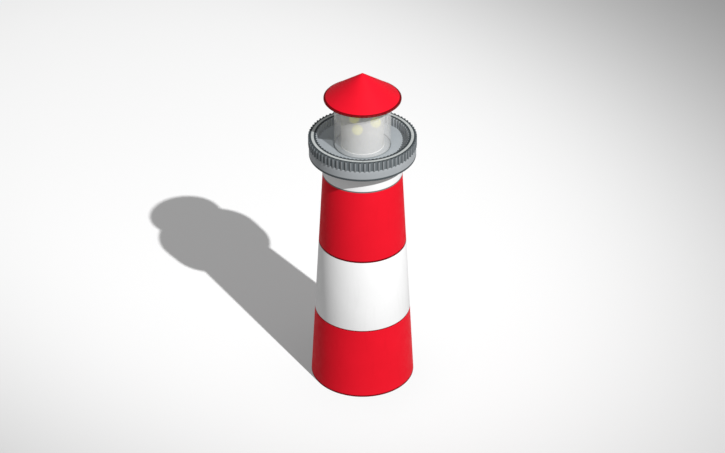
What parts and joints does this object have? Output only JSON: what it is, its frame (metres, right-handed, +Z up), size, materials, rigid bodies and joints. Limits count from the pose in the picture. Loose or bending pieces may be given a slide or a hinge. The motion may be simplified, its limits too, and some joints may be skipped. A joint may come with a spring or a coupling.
{
  "type": "lighthouse",
  "caption": "Free-standing round lighthouse: tapered tower in painted bands, gallery with a ribbed parapet, milky glass lantern and a conical metal roof.",
  "frame": {"origin": "middle of the tower's foot, at ground level", "axes": "+Z up along the tower's axis, -Y towards the side that is seen"},
  "size_m": [7.0776, 7.0776, 23.205],
  "materials": {
    "red_masonry_paint": "satin",
    "white_masonry_paint": "satin",
    "grey_painted_concrete": "matte",
    "concrete": "matte",
    "grey_painted_steel": "satin",
    "white_painted_steel": "satin",
    "milky_glass": "gloss",
    "opal_glass": "satin",
    "yellow_glass": "satin",
    "red_painted_steel": "satin"
  },
  "bodies": {
    "root": {"ground_floor": "concrete", "lower_wall_1": "red_masonry_paint", "lower_wall_2": "red_masonry_paint", "lower_wall_3": "red_masonry_paint", "lower_wall_4": "red_masonry_paint", "lower_wall_5": "red_masonry_paint", "lower_wall_6": "red_masonry_paint", "middle_wall_1": "white_masonry_paint", "middle_wall_2": "white_masonry_paint", "middle_wall_3": "white_masonry_paint", "middle_wall_4": "white_masonry_paint", "middle_wall_5": "white_masonry_paint", "middle_wall_6": "white_masonry_paint", "upper_wall_1": "red_masonry_paint", "upper_wall_2": "red_masonry_paint", "upper_wall_3": "red_masonry_paint", "upper_wall_4": "red_masonry_paint", "upper_wall_5": "red_masonry_paint", "upper_wall_6": "red_masonry_paint", "collar": "white_masonry_paint", "cornice": "grey_painted_concrete", "gallery_deck": "grey_painted_concrete", "parapet_panel_1": "grey_painted_concrete", "parapet_panel_2": "grey_painted_concrete", "parapet_panel_3": "grey_painted_concrete", "parapet_panel_4": "grey_painted_concrete", "parapet_panel_5": "grey_painted_concrete", "parapet_panel_6": "grey_painted_concrete", "parapet_panel_7": "grey_painted_concrete", "parapet_panel_8": "grey_painted_concrete", "glass_foot_channel": "grey_painted_steel", "glass_head_channel": "grey_painted_steel", "lantern_glass": "milky_glass", "drum_foot_channel": "white_painted_steel", "inner_drum": "opal_glass", "lamp_stand": "grey_painted_steel", "lamp_1": "yellow_glass", "lamp_2": "yellow_glass", "lamp_3": "yellow_glass", "lantern_ceiling": "grey_painted_steel", "roof_cone": "red_painted_steel", "eave_rim": "red_painted_steel"}
  },
  "joints": []
}
